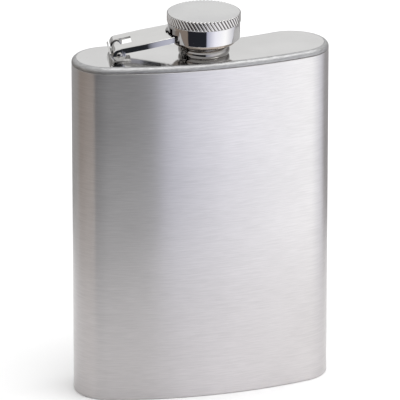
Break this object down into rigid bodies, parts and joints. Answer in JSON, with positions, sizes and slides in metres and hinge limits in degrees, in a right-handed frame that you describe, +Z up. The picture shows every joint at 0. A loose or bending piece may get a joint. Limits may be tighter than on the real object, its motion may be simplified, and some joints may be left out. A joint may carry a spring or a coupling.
{
  "type": "hip flask",
  "caption": "Curved pocket hip flask in brushed steel with a knurled screw cap held captive by a hinged retaining arm.",
  "frame": {"origin": "middle of the flat base, under the middle of the body's bounding box", "axes": "+Z up along the neck, -Y out of the convex front face, -X towards the hinge of the retaining arm"},
  "size_m": [0.095, 0.0314, 0.1426],
  "materials": {
    "brushed_wall": "satin steel brushed across the body",
    "polished_plate": "mirror polished steel",
    "satin_base": "satin steel",
    "weld_line": "fine laser weld line",
    "chrome_neck": "bright polished steel",
    "polished_hinge": "bright pressed steel strap",
    "polished_arm": "polished pressed steel",
    "pin_steel": "riveted steel pin",
    "polished_collar": "mirror polished steel band",
    "satin_cap": "satin steel top with a bright knurled rim",
    "chrome_sleeve": "bright turned steel",
    "gasket": "pale silicone sealing disc"
  },
  "bodies": {
    "flask": {"body_shell": "brushed_wall", "top_plate": "polished_plate", "base_plate": "satin_base", "top_weld": "weld_line", "base_weld": "weld_line", "neck_tube": "chrome_neck", "neck_ring": "chrome_neck", "hinge_bracket": "polished_hinge"},
    "arm": {"retaining_arm": "polished_arm", "base_pin": "pin_steel", "cap_pin": "pin_steel"},
    "collar": {"swivel_collar": "polished_collar"},
    "cap": {"cap_head": "satin_cap", "cap_sleeve": "chrome_sleeve", "cap_gasket": "gasket"}
  },
  "joints": [
    {"name": "arm_swing", "type": "hinge", "parent": "flask", "child": "arm", "pos_m": [-0.03066, 0.00295, 0.1298], "axis": [-0.1668, -0.986, 0], "range_deg": [0, 108]},
    {"name": "collar_tilt", "type": "hinge", "parent": "arm", "child": "collar", "pos_m": [-0.0144, 0.0002, 0.1337], "axis": [-0.1668, -0.986, 0], "range_deg": [0, 6]},
    {"name": "cap_spin", "type": "hinge", "parent": "collar", "child": "cap", "pos_m": [0, -0.00224, 0.13615], "axis": [0, 0, 1], "continuous": true}
  ]
}
